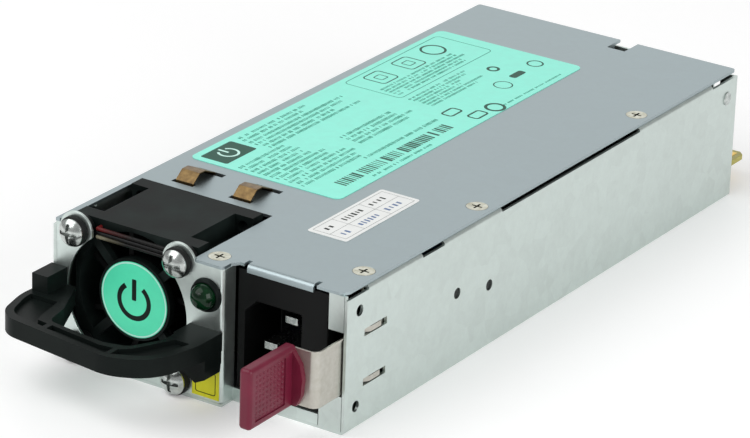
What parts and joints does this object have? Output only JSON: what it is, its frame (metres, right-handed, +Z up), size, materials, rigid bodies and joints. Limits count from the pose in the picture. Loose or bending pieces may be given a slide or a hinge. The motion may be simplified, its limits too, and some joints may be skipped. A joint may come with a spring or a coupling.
{
  "type": "hot swap server power supply",
  "caption": "Slim steel case with a front fan, turned mains inlet, pull handle and sprung side latch, and a card edge that plugs in at the rear.",
  "frame": {"origin": "midway across the bottom face, in the plane of the mains inlet's front sheet", "axes": "+X to the right seen from the front, +Y to the rear towards the card edge, +Z up"},
  "size_m": [0.0874, 0.2443, 0.0411],
  "materials": {
    "galvanised_wall": "zinc spangle, satin",
    "galvanised_cover": "zinc spangle, satin",
    "galvanised_front": "zinc spangle, satin",
    "zinc_screw": "zinc plated",
    "bright_steel": "nickel plated",
    "dark_plastic": "moulded, glass filled",
    "black_plastic": "moulded, fine texture",
    "winding_copper": "enamelled copper wire",
    "black_rubber": "moulded",
    "red_insulation": "extruded insulation",
    "black_insulation": "extruded insulation",
    "yellow_insulation": "extruded insulation",
    "green_lens": "clear dark dome",
    "spring_steel": "rolled strip",
    "maroon_plastic": "moulded, fine texture",
    "aqua_label": "printed film",
    "white_label": "printed paper",
    "yellow_label": "bare film",
    "green_disc": "printed film",
    "copper_spring": "rolled copper alloy",
    "circuit_board": "green solder mask",
    "gold_contact": "gold plated",
    "insulator_film": "plain film",
    "capacitor_sleeve": "shrink sleeve",
    "film_capacitor_case": "moulded case",
    "fuse_ceramic": "ceramic tube",
    "heatsink_aluminium": "extruded",
    "yellow_tape": "polyester tape",
    "ferrite": "sintered"
  },
  "bodies": {
    "case": {"board_posts": "bright_steel", "board_screws": "zinc_screw", "bridge_rectifier": "black_plastic", "bulk_capacitors": "capacitor_sleeve", "chassis": "galvanised_wall", "control_board": "circuit_board", "cover_screws": "zinc_screw", "edge_contacts": "gold_contact", "fan_bearings": "bright_steel", "fan_frame": "dark_plastic", "fan_grommets": "black_rubber", "fan_lead_black": "black_insulation", "fan_lead_red": "red_insulation", "fan_lead_yellow": "yellow_insulation", "fan_screws": "bright_steel", "fan_stator": "winding_copper", "film_capacitors": "film_capacitor_case", "front_plate": "galvanised_front", "fuse": "fuse_ceramic", "handle": "black_plastic", "handle_screws": "zinc_screw", "hub_disc": "green_disc", "inlet_housing": "black_plastic", "inlet_pins": "bright_steel", "input_choke": "winding_copper", "insulator_sheet": "insulator_film", "latch_anchor": "spring_steel", "latch_rivets": "bright_steel", "main_board": "circuit_board", "output_bus_bars": "copper_spring", "output_capacitors": "capacitor_sleeve", "pfc_choke": "winding_copper", "power_transistors": "black_plastic", "primary_heatsink": "heatsink_aluminium", "rating_label": "aqua_label", "rear_panel": "galvanised_wall", "rectifier_transistors": "black_plastic", "relay": "black_plastic", "secondary_heatsink": "heatsink_aluminium", "side_rivet": "bright_steel", "spring_fingers": "copper_spring", "standby_transformer": "yellow_tape", "status_lens": "green_lens", "status_ring": "black_plastic", "table_label": "white_label", "top_cover": "galvanised_cover", "transformer_core": "ferrite", "transformer_winding": "yellow_tape", "yellow_label": "yellow_label"},
    "rotor": {"fan_rotor": "dark_plastic", "fan_shaft": "bright_steel"},
    "latch": {"latch_strip": "spring_steel", "latch_grip": "maroon_plastic"}
  },
  "joints": [
    {"name": "fan_spin", "type": "hinge", "parent": "case", "child": "rotor", "pos_m": [-0.02, 0.01, 0.0201], "axis": [0, 1, 0], "continuous": true},
    {"name": "latch_flex", "type": "hinge", "parent": "case", "child": "latch", "pos_m": [0.0416, 0.046, 0.0183], "axis": [0, 0, -1], "range_deg": [0, 3.5], "stiffness_Nm_per_rad": 0.9}
  ]
}
